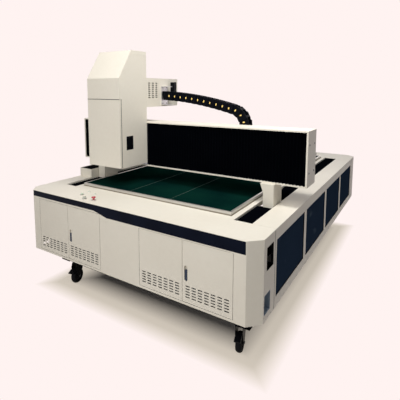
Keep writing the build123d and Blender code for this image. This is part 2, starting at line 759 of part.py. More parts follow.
save(tower_shell.part, "tower_shell")

with BuildPart() as tower_door:
    low_z, high_z = tower_bottom + tower_wall + 1, tower_door_top
    block((tower_left, tower_front, low_z), (tower_right, door_back, high_z))
    block((tower_left + sheet, tower_front + sheet, low_z + sheet),
          (tower_right - sheet, door_back + 1, high_z - sheet), Mode.SUBTRACT)
    with Locations((pin_x, pin_y, (low_z + high_z) / 2)):
        Cylinder(4 + running_clearance, high_z - low_z + 2, mode=Mode.SUBTRACT)
save(tower_door.part, "tower_door")

with BuildPart() as tower_window:
    block((tower_right - 2 * tower_wall, -1168 + seam, 1236 + seam), (tower_right - 1, -1084 - seam, 1352 - seam))
save(tower_window.part, "tower_window")

# Rear box with its vents, behind the tower and over the beam
with BuildPart() as rear_box:
    block((tower_left, tower_back + weld_gap, rear_box_bottom), (tower_right, rear_box_back, rear_box_top))
    block((tower_left + tower_wall, tower_back + weld_gap + tower_wall, rear_box_bottom + tower_wall),
          (tower_right - tower_wall, rear_box_back - tower_wall, rear_box_top - tower_wall), Mode.SUBTRACT)
    with BuildSketch(Plane.YZ.offset(tower_right + 1)):
        with Locations((tower_back + 90, rear_box_bottom + 148)):
            with GridLocations(50, 18, 3, 8):
                Rectangle(32, 8)
    extrude(amount=-2 * tower_wall, mode=Mode.SUBTRACT)
save(rear_box.part, "rear_box")

# Chain bracket and cable gland on the rear box
chain_back = chain_front + chain_width
chain_start_x = tower_right + 22
bracket_x = tower_right + weld_gap
side_plate = 7
plate_gap = 0.2
pin_radius = 8
pin_gap = 0.1

with BuildPart() as chain_bracket:
    block((bracket_x, chain_front - 6, chain_start_z - 86), (bracket_x + 4, chain_back + 6, chain_start_z + 84))
    for z in (chain_start_z - 86, chain_start_z + 80):
        block((bracket_x, chain_front - 6, z), (bracket_x + 58, chain_back + 6, z + 4))
    for y, pin_side in ((chain_front + side_plate + plate_gap, -1), (chain_back - side_plate - plate_gap, 1)):
        ear = sorted((y, y - pin_side * (side_plate - plate_gap)))
        block((bracket_x + 3, ear[0], chain_start_z - 16), (chain_start_x, ear[1], chain_start_z + 16))
        with Locations(Location((chain_start_x, sum(ear) / 2, chain_start_z), (90, 0, 0))):
            Cylinder(16, side_plate - plate_gap)
        with Locations(Location((chain_start_x, y + pin_side * 3.3, chain_start_z), (90, 0, 0))):
            Cylinder(pin_radius, 6.8)
save(chain_bracket.part, "chain_bracket")

with BuildPart() as cable_gland:
    block((bracket_x, -548, 1715), (bracket_x + 44, -512, 1809))
    fillet(edges().filter_by(Axis.X), 6)
    with Locations((bracket_x + 22, -530, 1715 - 16)):
        Cylinder(14, 34)
save(cable_gland.part, "cable_gland")

# Cable chain. A link is made once, lying along +X from its front pin, and is then set along the path.
half_height = chain_height / 2
plate_end = chain_pitch - 18
tongue_start = 18

with BuildPart() as link:
    for y in (0, chain_width - side_plate):
        with BuildSketch(Plane.XZ.offset(-y)):
            with BuildLine():
                Polyline((-16, 0), (-15, half_height - 4), (-11, half_height), (plate_end, half_height),
                         (plate_end, -half_height), (2, -half_height), close=True)
            make_face()
            Circle(pin_radius + pin_gap, mode=Mode.SUBTRACT)
        extrude(amount=-side_plate)
    for y in (side_plate + plate_gap, chain_width - 2 * side_plate):
        with BuildSketch(Plane.XZ.offset(-y)):
            with BuildLine():
                Polyline((tongue_start, -half_height + 1), (chain_pitch, -half_height + 1),
                         (chain_pitch + 13, -12), (chain_pitch + 15, 0))
                ThreePointArc((chain_pitch + 15, 0), (chain_pitch + 14, half_height - 12),
                              (chain_pitch + 6, half_height - 1))
                Polyline((chain_pitch + 6, half_height - 1), (tongue_start, half_height - 1),
                         (tongue_start, -half_height + 1))
            make_face()
        extrude(amount=-(side_plate - plate_gap))
    for y in (side_plate + 0.1, chain_width - side_plate - 0.1):
        with Locations(((tongue_start + plate_end) / 2, y, 0)):
            Box(plate_end - tongue_start, 0.4, chain_height - 24)
    for y in (side_plate / 2 + 0.35, chain_width - side_plate / 2 - 0.35):
        with Locations(Location((chain_pitch, y, 0), (90, 0, 0))):
            Cylinder(pin_radius, side_plate - 0.1)
    for z in (-half_height + 3, half_height - 3):
        with Locations((tongue_start + 8, chain_width / 2, z)):
            Box(16, chain_width - 2, 6)


def chain_path():
    """Place and slope of every link: a long gentle arc, a tight bend and the run on the tray."""
    x, z, places = chain_start_x, chain_start_z, []
    turn_upper = (chain_end_slope - chain_start_slope) / (chain_upper_links - 1)
    turn_bend = (-180 - chain_end_slope) / chain_bend_links
    slope = chain_start_slope
    for i in range(chain_upper_links + chain_bend_links + chain_lower_links):
        places.append((x, z, slope))
        x += chain_pitch * cos(radians(slope))
        z += chain_pitch * sin(radians(slope))
        if i < chain_upper_links - 1:
            slope += turn_upper
        elif i < chain_upper_links + chain_bend_links - 1:
            slope += turn_bend
        else:
            slope = -180
    return places, x, z


places, chain_end_x, lower_z = chain_path()
runs = {
    "chain_upper": places[:chain_upper_links],
    "chain_bend": places[chain_upper_links:chain_upper_links + chain_bend_links],
    "chain_lower": places[chain_upper_links + chain_bend_links:],
}
for name, stretch in runs.items():
    links = [Plane(origin=(x, chain_front, z), x_dir=(cos(radians(a)), 0, sin(radians(a))),
                   z_dir=(-sin(radians(a)), 0, cos(radians(a)))).location * link.part
             for x, z, a in stretch]
    save(Compound([solid for piece in links for solid in piece.solids()]), name)

# Tray of the chain's lower run, on the back of the beam
tray_z = lower_z - chain_height / 2 - seam
tray_left, tray_right = -120, beam_half_length - 4

with BuildPart() as chain_tray:
    block((tray_left, beam_rear + weld_gap, tray_z - 3), (tray_right, beam_rear + weld_gap + 3, tray_z + 60))
    block((tray_left, beam_rear + weld_gap, tray_z - 3), (tray_right, chain_back + 10, tray_z))
    block((tray_left, chain_back + 7, tray_z - 3), (tray_right, chain_back + 10, tray_z + 22))
    for y in (chain_front, chain_back - side_plate):
        with BuildSketch(Plane.XZ.offset(-y)):
            with BuildLine():
                Polyline((chain_end_x - 40, tray_z - 1), (chain_end_x - 40, lower_z + 16),
                         (chain_end_x + 10, lower_z + 16), (chain_end_x + 14, lower_z - 8),
                         (chain_end_x + 14, tray_z - 1), close=True)
            make_face()
            with Locations((chain_end_x, lower_z)):
                Circle(pin_radius + pin_gap, mode=Mode.SUBTRACT)
        extrude(amount=-side_plate)
save(chain_tray.part, "chain_tray")

# Laser module: body on the Z rails, lens barrel and nozzle
module_y = (door_back + tower_back) / 2
module_back = mast_front - z_rail_depth - 4

with BuildPart() as laser_module:
    block((tower_centre - 95, module_y - 70, 1250), (tower_centre + 95, module_back, 1500))
    fillet(edges().filter_by(Axis.Z), 8)
    for z in (1285, 1465):
        for x in z_rail_x:
            block((x - 25, module_back - 1, z - 30), (x + 25, mast_front - 2, z + 30))
            block((x - 10.5, module_back, z - 31), (x + 10.5, mast_front, z + 31), Mode.SUBTRACT)
    with Locations((tower_centre, module_y, 1195)):
        Cylinder(42, 112)
    with Locations((tower_centre, module_y, 1118)):
        Cone(bottom_radius=12, top_radius=42, height=44)
    with Locations((tower_centre, module_y, 1096)):
        Cylinder(3, 8, mode=Mode.SUBTRACT)
save(laser_module.part, "laser_module")

# Castors: top plates on the bed, forks that swivel under them, wheels and brake pedals
castors = {
    "front_left": (-castor_x, -castor_y, castor_turn),
    "front_right": (castor_x, -castor_y, castor_turn),
    "rear_left": (-castor_x, castor_y, 180 - castor_turn),
    "rear_right": (castor_x, castor_y, 180 + castor_turn),
}
plate_under = bed_floor_gap - weld_gap - 6
race_height = 20
race_under = plate_under - race_height
king_pin = 8
fork_wall = 4
fork_half = wheel_width / 2 + 3
crown_top = race_under - 1
pedal_pin = 5
pedal_y, pedal_z = -castor_trail - 30, wheel_radius + 74

with BuildPart() as castor_plates:
    for x, y, turn in castors.values():
        with Locations((x, y, plate_under + 3)):
            Box(castor_plate, castor_plate, 6)
            with GridLocations(castor_plate - 28, castor_plate - 28, 2, 2):
                Cylinder(5, 8, mode=Mode.SUBTRACT)
        with Locations((x, y, plate_under - race_height / 2)):
            Cylinder(36, race_height)
        with Locations((x, y, plate_under - 16)):
            Cylinder(king_pin, 34)
save(castor_plates.part, "castor_plates")

with BuildPart() as fork:
    with Locations((0, 0, crown_top - 3)):
        Cylinder(34, 6)
    with BuildSketch(Plane.YZ.offset(-fork_half - fork_wall)):
        with BuildLine():
            Polyline((34, crown_top), (-62, crown_top), (-78, crown_top - 34), (-castor_trail - 14, wheel_radius - 12),
                     (-castor_trail + 14, wheel_radius - 12), (34, crown_top - 18), close=True)
        make_face()
    extrude(amount=2 * (fork_half + fork_wall))
    block((-fork_half, -90, 0), (fork_half, 40, crown_top - 6), Mode.SUBTRACT)
    block((-fork_half - fork_wall - 1, -90, crown_top - 30), (fork_half + fork_wall + 1, -72, crown_top + 1),
          Mode.SUBTRACT)
    with Locations((0, 0, crown_top)):
        Cylinder(king_pin + running_clearance, 40, mode=Mode.SUBTRACT)
    with Locations(Location((0, -castor_trail, wheel_radius), (0, 90, 0))):
        Cylinder(6, 2 * (fork_half + fork_wall) + 10)
    with Locations(Location((0, pedal_y, pedal_z), (0, 90, 0))):
        Cylinder(pedal_pin, 2 * (fork_half + fork_wall))

with BuildPart() as wheel:
    with BuildSketch(Plane.XZ):
        with BuildLine():
            half = wheel_width / 2
            Polyline((6 + running_clearance, -half), (22, -half), (24, -half + 8), (44, -half + 8), (48, -half),
                     (58, -half))
            ThreePointArc((58, -half), (wheel_radius, 0), (58, half))
            Polyline((58, half), (48, half), (44, half - 8), (24, half - 8), (22, half),
                     (6 + running_clearance, half), (6 + running_clearance, -half))
        make_face()
    revolve(axis=Axis.Z)

with BuildPart() as pedal:
    with BuildSketch(Plane.YZ.offset(-fork_half + 1)):
        with BuildLine():
            Polyline((pedal_y + 9, pedal_z + 7), (pedal_y - 6, pedal_z + 9), (pedal_y - 62, pedal_z - 14),
                     (pedal_y - 60, pedal_z - 22), (pedal_y - 8, pedal_z - 7), (pedal_y + 9, pedal_z - 7),
                     close=True)
        make_face()
    extrude(amount=2 * fork_half - 2)
    with Locations(Location((0, pedal_y, pedal_z), (0, 90, 0))):
        Cylinder(pedal_pin + running_clearance, 2 * fork_half + 2, mode=Mode.SUBTRACT)

for corner, (x, y, turn) in castors.items():
    place = Location((x, y, 0), (0, 0, turn))
    save(place * fork.part, f"castor_fork_{corner}")
    save(place * pedal.part, f"castor_pedal_{corner}")
    axle = place * Location((0, -castor_trail, wheel_radius), (0, 90, 0))
    save(axle * wheel.part, f"castor_wheel_{corner}")

box = Compound(material_pieces).bounding_box()
print(f"pieces {len(material_pieces)}, box {box.min} to {box.max}")
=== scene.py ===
# %% [markdown]
# The laser drilling machine is mostly bent sheet steel, and its solids come ready made. This lesson
# dresses them: it gives each one a finish, and adds the small pieces that a sheet-metal shop leaves to
# the fitters, such as pleated covers, chain links, screws and plugs. Every length is in metres.

from math import cos, pi, radians, sin

import bmesh
import bpy
import numpy as np
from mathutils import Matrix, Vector


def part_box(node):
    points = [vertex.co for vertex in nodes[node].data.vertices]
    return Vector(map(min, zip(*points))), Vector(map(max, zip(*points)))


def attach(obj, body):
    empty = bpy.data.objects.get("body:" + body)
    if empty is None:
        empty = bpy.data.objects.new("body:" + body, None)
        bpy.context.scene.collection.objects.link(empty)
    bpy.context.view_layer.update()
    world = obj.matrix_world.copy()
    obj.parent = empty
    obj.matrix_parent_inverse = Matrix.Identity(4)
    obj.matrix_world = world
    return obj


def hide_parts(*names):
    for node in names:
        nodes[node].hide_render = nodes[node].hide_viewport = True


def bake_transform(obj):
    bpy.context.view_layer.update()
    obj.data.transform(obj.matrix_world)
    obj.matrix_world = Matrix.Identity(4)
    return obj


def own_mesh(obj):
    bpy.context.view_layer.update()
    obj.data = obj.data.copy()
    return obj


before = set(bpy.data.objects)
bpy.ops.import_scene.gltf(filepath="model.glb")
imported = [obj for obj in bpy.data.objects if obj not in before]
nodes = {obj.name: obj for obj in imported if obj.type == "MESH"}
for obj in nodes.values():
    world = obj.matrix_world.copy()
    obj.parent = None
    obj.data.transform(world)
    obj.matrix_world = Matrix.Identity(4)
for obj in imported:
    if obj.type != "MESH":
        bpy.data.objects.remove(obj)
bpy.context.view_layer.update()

# %% [markdown]
# The camera comes first, because everything is judged through it. Its place was solved from the straight
# edges of the cabinet. The picture was taken from eye height, a little under the top of the tower, with the
# lens tilted down, and it was cropped afterwards, which is what the shift stands for.

# %% Camera
camera_data = bpy.data.cameras.new("camera")
camera = bpy.data.objects.new("camera", camera_data)
bpy.context.scene.collection.objects.link(camera)
camera.location = (1.7528, -3.3638, 1.7339)
camera.rotation_euler = (radians(90 - 6.413), 0, radians(32.567))
sensor, picture, focal_pixels, centre_x, centre_y = 36, 400, 360.38, 192.68, 130.64
camera_data.sensor_width = sensor
camera_data.lens = sensor * focal_pixels / picture
camera_data.shift_x = (picture / 2 - centre_x) / picture
camera_data.shift_y = (centre_y - picture / 2) / picture
bpy.context.scene.camera = camera
print("lens", round(camera_data.lens, 2), "mm")

# %% [markdown]
# A paint chart gives a colour as it looks on a screen, while Blender's sockets want the light itself. One
# small function turns the first into the second, so every finish can be given by its chart colour.

# %% Colours from the paint chart


def shade(red, green, blue):
    """A display colour from 0 to 255 as linear light, by the sRGB curve."""
    c = np.array([red, green, blue]) / 255
    return tuple(np.where(c <= 0.04045, c / 12.92, ((c + 0.055) / 1.055) ** 2.4)) + (1.0,)


paper = shade(255, 243, 241)
print("paper", [round(v, 3) for v in paper])

# %% [markdown]
# Materials are written as sums. Value holds one output socket of a node, and a plus or a times between
# two values adds the Math node that does it, so a formula reads as it would on paper.

# %% Material sums


class Value:
    """One output of a node. Its arithmetic adds Math nodes to the same material."""

    def __init__(self, look, socket):
        self.look, self.socket = look, socket

    def math(self, operation, *others, clamp=False):
        """One Math node of this value and the others."""
        values = {0: self.socket}
        for i, other in enumerate(others):
            values[i + 1] = other
        return self.look.node("ShaderNodeMath", {"operation": operation, "use_clamp": clamp}, values)

    def __add__(self, other):
        return self.math("ADD", other)

    __radd__ = __add__

    def __mul__(self, other):
        return self.math("MULTIPLY", other)

    __rmul__ = __mul__

    def __sub__(self, other):
        return self.math("SUBTRACT", other)

    def __rsub__(self, other):
        return self.look.node("ShaderNodeMath", {"operation": "SUBTRACT"}, {0: other, 1: self.socket})

    def __truediv__(self, other):
        return self.math("DIVIDE", other)

    def clamp(self):
        """This value, cut at 0 and at 1."""
        return self.math("ADD", 0.0, clamp=True)

    def step(self, low, high):
        """0 below low, 1 above high, straight between."""
        return self.look.node("ShaderNodeMapRange", {"clamp": True},
                              {0: self.socket, 1: low, 2: high, 3: 0.0, 4: 1.0})


class Look:
    """One finish: a Principled shader and the nodes that drive it."""

    def __init__(self, name, **fixed):
        self.material = bpy.data.materials.new(name)
        self.material.use_nodes = True
        self.tree = self.material.node_tree
        self.tree.nodes.clear()
        self.output = self.tree.nodes.new("ShaderNodeOutputMaterial")
        self.shader = self.tree.nodes.new("ShaderNodeBsdfPrincipled")
        self.tree.links.new(self.shader.outputs[0], self.output.inputs["Surface"])
        for key, value in fixed.items():
            self.feed(key.replace("_", " "), value)

    def node(self, kind, settings=None, values=None, out=0):
        """A node of that kind, with its settings made first and then its sockets fed."""
        node = self.tree.nodes.new(kind)
        for key, value in (settings or {}).items():
            if key == "stops":
                ramp = node.color_ramp
                while len(ramp.elements) < len(value):
                    ramp.elements.new(0.5)
                for element, (place, colour) in zip(ramp.elements, value):
                    element.position, element.color = place, colour
            else:
                setattr(node, key, value)
        for key, value in (values or {}).items():
            self.join(node.inputs[key], value)
        return Value(self, node.outputs[out])

    def join(self, socket, value):
        """Links a value to a socket, or sets the socket to a plain number or colour."""
        if isinstance(value, Value):
            value = value.socket
        if isinstance(value, bpy.types.NodeSocket):
            self.tree.links.new(value, socket)
        else:
            socket.default_value = value

    def feed(self, name, value):
        """Feeds one socket of the Principled shader."""
        self.join(self.shader.inputs[name], value)

    def place(self):
        """Object coordinates: metres in the machine's own frame."""
        return self.node("ShaderNodeTexCoord", out=3)

    def axis(self, index):
        """One coordinate, 0 for X, 1 for Y and 2 for Z."""
        return self.node("ShaderNodeSeparateXYZ", None, {0: self.place()}, out=index)

    def noise(self, scale, detail=2.0, stretch=None):
        """Cloudy noise from 0 to 1, with that many blobs to the metre, stretched along an axis if asked."""
        where = self.place()
        if stretch:
            where = self.node("ShaderNodeMapping", None, {0: where, "Scale": stretch})
        return self.node("ShaderNodeTexNoise", None, {"Vector": where, "Scale": scale, "Detail": detail})

    def blend(self, share, first, second):
        """The first colour where share is 0, the second where it is 1."""
        return self.node("ShaderNodeMix", {"data_type": "RGBA"}, {0: share, 6: first, 7: second}, out=2)

    def bump(self, height, strength, distance):
        """Raises the surface by height, a share of distance in metres."""
        self.feed("Normal", self.node("ShaderNodeBump", None,
                                      {"Strength": strength, "Distance": distance, "Height": height}))


print("material sums ready")

# %% [markdown]
# A photo studio is a pale sheet of paper on the floor and up the wall, with large soft lamps. The sky's
# colour is what the camera and the glossy surfaces see, and a weaker light is what falls on the object, so
# that the backdrop can be nearly white without glare. The lamps stand in front, over and behind.

# %% Paper backdrop and lamps
world = bpy.data.worlds.new("studio")
bpy.context.scene.world = world
world.use_nodes = True
sky = world.node_tree
sky.nodes.clear()
sky_out = sky.nodes.new("ShaderNodeOutputWorld")
ray = sky.nodes.new("ShaderNodeLightPath")
seen = sky.nodes.new("ShaderNodeBackground")
seen.inputs[0].default_value, seen.inputs[1].default_value = paper, 1.0
lit = sky.nodes.new("ShaderNodeBackground")
lit.inputs[0].default_value, lit.inputs[1].default_value = (0.93, 0.97, 1.0, 1.0), 0.2
pick = sky.nodes.new("ShaderNodeMixShader")


def backdrop_rays(tree, path):
    """1 for a camera, glossy or transmission ray: the sum of the three, cut at 1."""
    total = path.outputs["Is Camera Ray"]
    for name in ("Is Glossy Ray", "Is Transmission Ray"):
        add = tree.nodes.new("ShaderNodeMath")
        add.operation, add.use_clamp = "ADD", True
        tree.links.new(total, add.inputs[0])
        tree.links.new(path.outputs[name], add.inputs[1])
        total = add.outputs[0]
    return total


sky.links.new(backdrop_rays(sky, ray), pick.inputs[0])
sky.links.new(lit.outputs[0], pick.inputs[1])
sky.links.new(seen.outputs[0], pick.inputs[2])
sky.links.new(pick.outputs[0], sky_out.inputs["Surface"])

# Each lamp: its name, its place, its width and its power in watts
lamps = (
    ("key lamp", (0.3, -4.4, 4.2), 1.6, 72),
    ("top lamp", (0.45, -2.0, 4.8), 1.4, 54),
    ("tower lamp", (1.05, -1.15, 2.9), 0.6, 20),
    ("front lamp", (0.6, -4.2, 1.2), 1.4, 17),
    ("back lamp", (0.5, 5.0, 3.6), 3.0, 25),
)
aim = Vector((0, 0, 0.7))
for name, place, width, power in lamps:
    data = bpy.data.lights.new(name, "AREA")
    data.shape, data.size, data.energy = "SQUARE", width, power
    data.color = (1.0, 0.975, 0.94)
    lamp = bpy.data.objects.new(name, data)
    bpy.context.scene.collection.objects.link(lamp)
    lamp.location = place
    lamp.rotation_euler = (aim - Vector(place)).to_track_quat("-Z", "Y").to_euler()
print(len(lamps), "lamps")

# %% [markdown]
# Most added pieces are swept or turned surfaces. Each is a grid of points worked out in one go, and
# join_patches sews several grids into one mesh. A grid that closes on itself says so, and points that
# fall together, as at a pole, are merged.

# %% Meshes from grids of points


def patch_faces(rows, columns, wrap_rows, wrap_columns):
    """Quads between neighbouring points of a grid: corner (i, j) has the number i times columns plus j."""
    i = np.arange(rows if wrap_rows else rows - 1)
    j = np.arange(columns if wrap_columns else columns - 1)
    i, j = np.meshgrid(i, j, indexing="ij")
    below, beside = (i + 1) % rows, (j + 1) % columns
    return np.stack([i * columns + j, below * columns + j, below * columns + beside,
                     i * columns + beside], -1).reshape(-1, 4)


def join_patches(name, patches, material, smooth=30):
    """One mesh from grids given as (points, wrap_rows, wrap_columns), with normals outwards."""
    points, faces, start = [], [], 0
    for grid, wrap_rows, wrap_columns in patches:
        rows, columns = grid.shape[:2]
        points.append(grid.reshape(-1, 3))
        faces.append(patch_faces(rows, columns, wrap_rows, wrap_columns) + start)
        start += rows * columns
    mesh = bpy.data.meshes.new(name)
    mesh.from_pydata(np.concatenate(points).tolist(), [], np.concatenate(faces).tolist())
    work = bmesh.new()
    work.from_mesh(mesh)
    bmesh.ops.remove_doubles(work, verts=work.verts, dist=2e-6)
    bmesh.ops.dissolve_degenerate(work, edges=work.edges, dist=1e-6)
    bmesh.ops.recalc_face_normals(work, faces=work.faces)
    work.to_mesh(mesh)
    work.free()
    mesh.materials.append(material)
    mesh.polygons.foreach_set("use_smooth", [True] * len(mesh.polygons))
    mesh.set_sharp_from_angle(angle=radians(smooth))
    piece = bpy.data.objects.new(name, mesh)
    bpy.context.scene.collection.objects.link(piece)
    return piece


def turned(profile, segments=20):
    """A profile of (radius, height) pairs turned about Z: x is r cos a, y is r sin a."""
    r, z = np.array(profile, float).T
    a = np.linspace(0, 2 * pi, segments, endpoint=False)
    return np.stack([r[:, None] * np.cos(a), r[:, None] * np.sin(a),
                     np.repeat(z[:, None], segments, 1)], -1)


def slab(outline, low, high, bevel):
    """A plate with that outline in XY and bevelled rims: rings at its centre, rim, wall, rim and centre."""
    outline = np.array(outline, float)
    centre = outline.mean(0)
    reach = np.linalg.norm(outline - centre, axis=1, keepdims=True)
    inner = outline + (centre - outline) / reach * bevel
    rings = [(centre + 0 * outline, low), (inner, low), (outline, low + bevel), (outline, high - bevel),
             (inner, high), (centre + 0 * outline, high)]
    return np.stack([np.column_stack([ring, np.full(len(ring), z)]) for ring, z in rings])


def brick(low, high, bevel=0.001):
    """A bevelled block between two corners."""
    (x0, y0, z0), (x1, y1, z1) = low, high
    b = bevel
    outline = [(x0 + b, y0), (x1 - b, y0), (x1, y0 + b), (x1, y1 - b), (x1 - b, y1), (x0 + b, y1),
               (x0, y1 - b), (x0, y0 + b)]
    return slab(outline, z0, z1, bevel)


def facing(direction, up=(0, 0, 1)):
    """A turn that takes Z to the direction, with X kept square to up."""
    z = np.array(direction, float) / np.linalg.norm(direction)
    x = np.cross(up, z)
    if np.linalg.norm(x) < 1e-6:
        x = np.array([1.0, 0, 0])
    x = x / np.linalg.norm(x)
    return np.column_stack([x, np.cross(z, x), z])


def put(grid, turn, places):
    """Copies of a grid, each turned the same way and moved to its place."""
    turned_grid = grid @ np.asarray(turn).T
    return [(turned_grid + np.array(place), False, True) for place in places]


print("mesh helpers ready")

# %% [markdown]
# Powder coat is a plastic film baked on steel. It is never quite flat: it has a fine orange peel about
# two millimetres across, and handling leaves the gloss slightly uneven. The white here is a warm one.

# %% White powder coat


def powder_coat(name, light, dark, rough=0.42, peel=0.05):
    """Coated steel: cloudy change of tone, slightly uneven gloss and orange peel."""
    look = Look(name, Specular_IOR_Level=0.2)
    clouds = look.noise(2.3, 4.0)
    fine = look.noise(38.0, 3.0)
    tone = (clouds * 0.7 + fine * 0.3).step(0.3, 0.7)
    look.feed("Base Color", look.blend(tone, dark, light))
    look.feed("Roughness", (look.noise(9.0, 3.0) * 0.12 + (rough - 0.06)).clamp())
    look.bump(look.noise(480.0, 1.0), peel, 0.0006)
    return look


white_coat = powder_coat("white_coat", shade(236, 231, 219), shade(230, 224, 211)).material
grey_coat = powder_coat("grey_coat", shade(150, 153, 156), shade(140, 143, 147)).material
bed = powder_coat("bed_coat", shade(13, 15, 19), shade(9, 11, 15), rough=0.6)
bed.feed("Specular IOR Level", 0.0)
bed_coat = bed.material
recess_coat = powder_coat("recess_coat", shade(150, 164, 178), shade(136, 150, 165)).material
handle_coat = powder_coat("handle_coat", shade(58, 70, 90), shade(46, 56, 74), rough=0.35).material
print("five coats")

# %% [markdown]
# The fascias, corner sheets and side frames are white outside, and inside they are painted near-black as
# painted shade, standing for the dark space inside the cabinet, so that the cut-outs look dark. The inside
# is told from the place alone: it lies more than a millimetre behind the cabinet's outline, which is a
# rectangle with its corners cut off.

# %% White outside, painted shade inside
half_width, half_length, corner_sum = 1.05, 1.59, 2.564
shell = powder_coat("shell_coat_shade_inside", shade(236, 231, 219), shade(230, 224, 211))
out_x, out_y = shell.axis(0).math("ABSOLUTE"), shell.axis(1).math("ABSOLUTE")
corner_cut = (out_x + out_y - corner_sum) * 0.7071
behind = (out_x - half_width).math("MAXIMUM", out_y - half_length).math("MAXIMUM", corner_cut)
outer_skin = behind.step(-0.0015, -0.0008)
white_now = shell.shader.inputs["Base Color"].links[0].from_socket
# The near-black inside is painted shade: it stands for the darkness inside the cabinet
shell.feed("Base Color", shell.blend(outer_skin, shade(20, 22, 26), white_now))
shell_coat_shade_inside = shell.material
print("outside and inside of the shell")

# %% [markdown]
# The band across the front is sprayed in a blue-black satin. It takes little of the room's light, so it
# reads as a dark stripe from every side.

# %% Blue-black band
band = Look("band_gloss", Specular_IOR_Level=0.04)
band_tone = band.noise(5.0, 3.0).step(0.35, 0.65)
band.feed("Base Color", band.blend(band_tone, shade(8, 14, 28), shade(13, 20, 36)))
band.feed("Roughness", band.noise(14.0, 2.0) * 0.1 + 0.24)
band.bump(band.noise(420.0, 1.0), 0.03, 0.0004)
band_gloss = band.material
print("band finish")

# %% [markdown]
# The work table is a dark green coated board with a faint net of lines pressed in its skin. It takes no
# mirror light, because the pale room would turn the green to grey from low angles.

# %% Green table
table = Look("green_board", Specular_IOR_Level=0.0)
net = 0.004
across, along = table.axis(0), table.axis(1)


def stripe(coordinate, pitch, share):
    """1 on a thin line once every pitch metres: the fraction of coordinate over pitch, cut at share."""
    saw = (coordinate / pitch).math("FRACT")
    return 1 - saw.step(share * 0.6, share)


lines = stripe(across, net, 0.2).math("MAXIMUM", stripe(along, net, 0.2))
cloud = table.noise(3.1, 4.0).step(0.3, 0.7)
green = table.blend(cloud, shade(4, 29, 28), shade(9, 44, 37))
table.feed("Base Color", table.blend(lines * 0.35, green, shade(3, 26, 22)))
table.feed("Roughness", table.noise(7.0, 3.0) * 0.1 + 0.13)
table.bump(1 - lines, 0.12, 0.0002)
green_board = table.material
print("table finish, net", net * 1000, "mm")

# %% [markdown]
# Bare metals differ by how they were finished: ground rails have fine scratches along their length,
# zinc plate is brighter with a cloudy bloom, and anodised aluminium is dull and even.

# %% Bare metals


def ground_metal(name, colour, rough, stretch, scratch=0.25):
    """Metal with fine scratches along one axis: noise stretched in that direction drives gloss and bump."""
    look = Look(name, Metallic=1.0)
    grain = look.noise(900.0, 2.0, stretch)
    look.feed("Base Color", look.blend(grain, tuple(0.82 * c for c in colour[:3]) + (1.0,), colour))
    look.feed("Roughness", (grain * scratch + (rough - scratch / 2)).clamp())
    look.bump(grain, 0.06, 0.0002)
    return look.material


rail_steel = ground_metal("rail_steel", shade(168, 170, 172), 0.34, (1.0, 0.02, 1.0))
x_rail_steel = ground_metal("x_rail_steel", shade(168, 170, 172), 0.34, (0.02, 1.0, 1.0))
alloy = ground_metal("alloy", shade(206, 206, 202), 0.42, (0.5, 0.5, 0.5), 0.12)
laser_alloy = ground_metal("laser_alloy", shade(176, 180, 186), 0.36, (1.0, 1.0, 0.05), 0.14)
print("four ground metals")

# %% [markdown]
# Zinc settles on steel in small crystals, so its bloom is noise in colour, gloss and height at once. The
# screws are blackened steel, rubbed brighter by the key.

# %% Zinc plate and screws
zinc = Look("zinc_plate", Metallic=1.0)
bloom = zinc.noise(60.0, 5.0)
zinc.feed("Base Color", zinc.blend(bloom.step(0.3, 0.7), shade(186, 187, 189), shade(226, 227, 228)))
zinc.feed("Roughness", bloom * 0.3 + 0.2)
zinc.bump(bloom, 0.05, 0.0003)
zinc_plate = zinc.material

screw = Look("screw_steel", Metallic=0.9)
screw.feed("Base Color", screw.blend(screw.noise(300.0, 2.0), shade(70, 71, 74), shade(104, 105, 108)))
screw.feed("Roughness", screw.noise(500.0, 2.0) * 0.2 + 0.28)
screw_steel = screw.material
print("zinc and screws")

# %% [markdown]
# Black plastics and rubber look alike at a distance and not close up. Moulded nylon has an even spark
# texture, rubber is matt with a grey bloom, and the pleated cloth is coated and slightly silky.

# %% Black plastics, rubber and cloth


def moulded(name, light, dark, rough, grain=700.0, shine=0.1):
    """Moulded plastic: spark texture in the bump, with gloss that changes over a hand's width."""
    look = Look(name, Specular_IOR_Level=shine)
    look.feed("Base Color", look.blend(look.noise(25.0, 3.0), dark, light))
    look.feed("Roughness", (look.noise(18.0, 2.0) * 0.12 + (rough - 0.06)).clamp())
    look.bump(look.noise(grain, 1.0), 0.12, 0.0003)
    return look.material


chain_nylon = moulded("chain_nylon", shade(9, 12, 19), shade(4, 6, 11), 0.46, shine=0.04)
black_plastic = moulded("black_plastic", shade(11, 13, 18), shade(6, 8, 12), 0.34)
tyre_rubber = moulded("tyre_rubber", shade(20, 21, 25), shade(11, 12, 16), 0.72, 300.0)
castor_black = moulded("castor_black", shade(16, 17, 22), shade(8, 9, 13), 0.4, 500.0)
pedal_plastic = moulded("pedal_plastic", shade(19, 20, 25), shade(10, 11, 15), 0.48)
# Grey-beige lip: painted shadow under the table's trim
lip_painted_shadow = moulded("lip_painted_shadow", shade(150, 143, 130), shade(134, 128, 116), 0.6, shine=0.03)
joint_filler = moulded("joint_filler", shade(96, 112, 104), shade(70, 88, 80), 0.5, shine=0.02)
knob_plastic = moulded("knob_plastic", shade(198, 200, 192), shade(180, 183, 174), 0.4)
plug_yellow = moulded("plug_yellow", shade(246, 214, 130), shade(232, 196, 108), 0.4)

cloth = Look("pleat_cloth", Specular_IOR_Level=0.0)
thread = stripe(cloth.axis(2), 0.0016, 0.5)
cloth.feed("Base Color", cloth.blend(cloth.noise(6.0, 3.0), shade(3, 4, 8), shade(7, 9, 14)))
cloth.feed("Roughness", cloth.noise(30.0, 2.0) * 0.15 + 0.6)
cloth.bump(thread, 0.08, 0.0002)
pleat_cloth = cloth.material
print("blacks, greys and a yellow")
